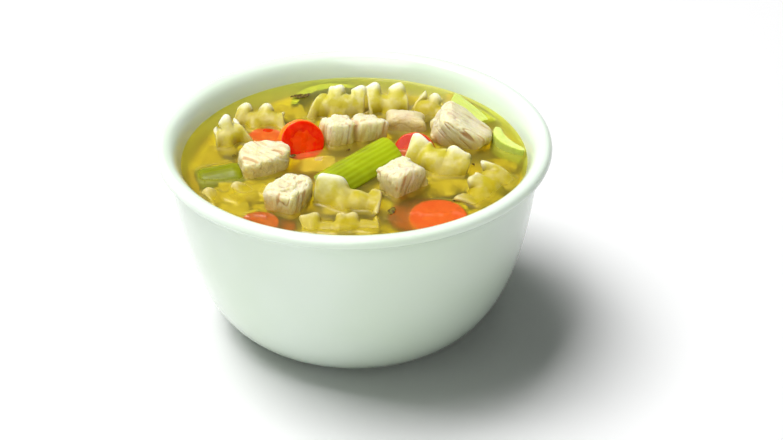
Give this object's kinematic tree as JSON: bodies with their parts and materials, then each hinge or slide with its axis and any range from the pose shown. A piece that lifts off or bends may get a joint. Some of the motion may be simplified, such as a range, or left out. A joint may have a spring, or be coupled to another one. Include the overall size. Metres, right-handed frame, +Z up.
{
  "type": "chicken noodle soup in a bowl",
  "caption": "Round white soup bowl filled with golden broth, short ruffled egg noodles, diced chicken, carrot coins and cut celery.",
  "frame": {"origin": "centre of the foot ring, on the surface that the bowl stands on", "axes": "+Z up along the bowl's axis; +X to the right and +Y away from the side that shows in front"},
  "size_m": [0.1498, 0.1498, 0.0805],
  "materials": {
    "glaze": "smooth glossy white glaze",
    "broth": "clear golden broth, wet",
    "noodle": "cooked egg pasta, smooth and wet",
    "chicken": "cooked white meat with fine fibres, moist",
    "carrot": "cooked carrot, wet",
    "celery": "cooked celery, wet"
  },
  "bodies": {
    "root": {"bowl": "glaze", "broth": "broth", "noodle_back_left": "noodle", "noodle_back_centre": "noodle", "noodle_back_right": "noodle", "noodle_right_inner": "noodle", "noodle_right_outer": "noodle", "noodle_front": "noodle", "noodle_front_low": "noodle", "noodle_left": "noodle", "noodle_left_back": "noodle", "noodle_left_front": "noodle", "chicken_centre": "chicken", "chicken_back": "chicken", "chicken_right": "chicken", "chicken_middle": "chicken", "chicken_front_left": "chicken", "chicken_left": "chicken", "carrot_centre": "carrot", "carrot_right": "carrot", "carrot_front_right": "carrot", "carrot_front_left": "carrot", "celery_centre": "celery", "celery_back_left": "celery", "celery_right_back": "celery", "celery_right": "celery", "celery_left": "celery"}
  },
  "joints": []
}
